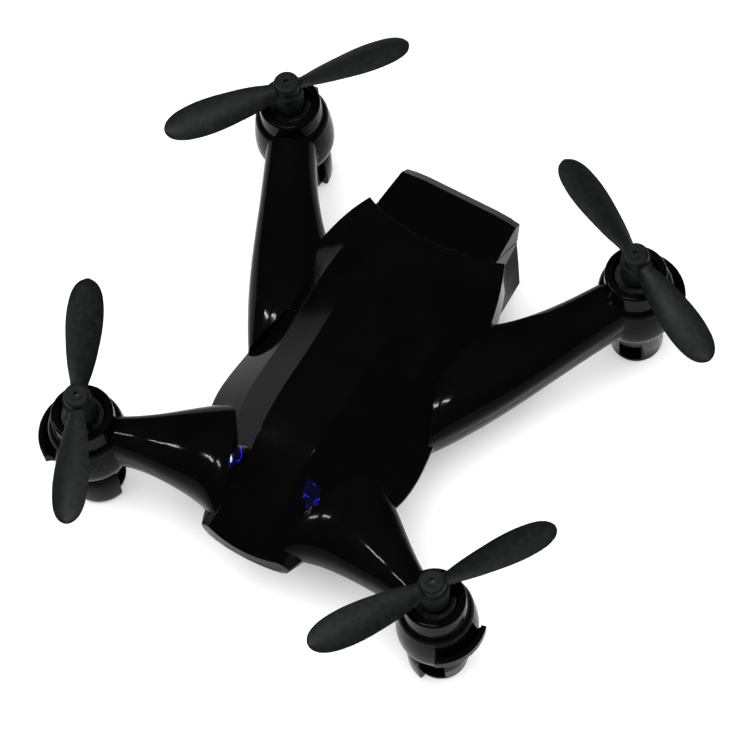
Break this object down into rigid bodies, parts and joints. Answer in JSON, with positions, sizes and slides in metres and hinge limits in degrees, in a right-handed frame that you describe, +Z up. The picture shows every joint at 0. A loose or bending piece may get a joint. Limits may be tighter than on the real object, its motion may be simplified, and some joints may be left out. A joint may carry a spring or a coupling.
{
  "type": "palm quadcopter",
  "caption": "Palm-sized quadcopter: faceted two-part shell, arms ending in bell-shaped motor pods with foot cups, twisted propellers, slide-in battery and lit eyes.",
  "frame": {"origin": "on the standing surface, midway between the four motor axes", "axes": "+Z up, -Y towards the nose with the two eyes, +X to the right-hand pods seen from above with the nose pointing down the page"},
  "size_m": [0.092, 0.0942, 0.0299],
  "materials": {
    "shell_gloss": "moulded black, polished",
    "battery_gloss": "moulded black, polished",
    "propeller_plastic": "moulded dark grey, satin",
    "lens_clear": "clear blue-tinted moulding",
    "led_blue": "blue light-emitting diode",
    "shaft_steel": "ground steel",
    "motor_steel": "drawn steel can",
    "end_cap_white": "moulded off-white",
    "lead_red": "flexible insulation",
    "cell_foil": "laminated foil pouch",
    "contact_brass": "plated spring brass",
    "board_green": "solder-masked glass fibre",
    "chip_black": "moulded package",
    "crystal_metal": "pressed steel can",
    "socket_white": "moulded connector body",
    "switch_steel": "folded steel frame",
    "knob_black": "moulded knob",
    "wire_grey": "flexible insulation",
    "screw_steel": "blackened steel"
  },
  "bodies": {
    "airframe": {"upper_shell": "shell_gloss", "lower_shell": "shell_gloss", "eye_lens_left": "lens_clear", "eye_lens_right": "lens_clear", "eye_led_left": "led_blue", "eye_led_right": "led_blue", "flight_board": "board_green", "processor_chip": "chip_black", "radio_chip": "chip_black", "gyro_chip": "chip_black", "crystal_can": "crystal_metal", "battery_socket": "socket_white", "power_switch": "switch_steel", "antenna_wire": "wire_grey", "case_screws": "screw_steel", "motor_can_front_left": "motor_steel", "motor_end_cap_front_left": "end_cap_white", "motor_leads_front_left": "lead_red", "motor_can_front_right": "motor_steel", "motor_end_cap_front_right": "end_cap_white", "motor_leads_front_right": "lead_red", "motor_can_rear_left": "motor_steel", "motor_end_cap_rear_left": "end_cap_white", "motor_leads_rear_left": "lead_red", "motor_can_rear_right": "motor_steel", "motor_end_cap_rear_right": "end_cap_white", "motor_leads_rear_right": "lead_red"},
    "rotor_front_left": {"propeller_front_left": "propeller_plastic", "shaft_front_left": "shaft_steel"},
    "rotor_front_right": {"propeller_front_right": "propeller_plastic", "shaft_front_right": "shaft_steel"},
    "rotor_rear_left": {"propeller_rear_left": "propeller_plastic", "shaft_rear_left": "shaft_steel"},
    "rotor_rear_right": {"propeller_rear_right": "propeller_plastic", "shaft_rear_right": "shaft_steel"},
    "battery": {"battery_case": "battery_gloss", "battery_cell": "cell_foil", "battery_contact_left": "contact_brass", "battery_contact_right": "contact_brass"},
    "switch_slider": {"switch_knob": "knob_black"}
  },
  "joints": [
    {"name": "spin_front_left", "type": "hinge", "parent": "airframe", "child": "rotor_front_left", "pos_m": [-0.0305, -0.0301, 0.0238], "axis": [0, 0, 1], "continuous": true},
    {"name": "spin_front_right", "type": "hinge", "parent": "airframe", "child": "rotor_front_right", "pos_m": [0.0305, -0.0301, 0.0238], "axis": [0, 0, 1], "continuous": true},
    {"name": "spin_rear_left", "type": "hinge", "parent": "airframe", "child": "rotor_rear_left", "pos_m": [-0.0305, 0.0301, 0.0238], "axis": [0, 0, 1], "continuous": true},
    {"name": "spin_rear_right", "type": "hinge", "parent": "airframe", "child": "rotor_rear_right", "pos_m": [0.0305, 0.0301, 0.0238], "axis": [0, 0, 1], "continuous": true},
    {"name": "battery_slide", "type": "slide", "parent": "airframe", "child": "battery", "axis": [0, 1, 0], "range_m": [0, 0.04]},
    {"name": "switch_slide", "type": "slide", "parent": "airframe", "child": "switch_slider", "axis": [0, -1, 0], "range_m": [0, 0.002]}
  ]
}
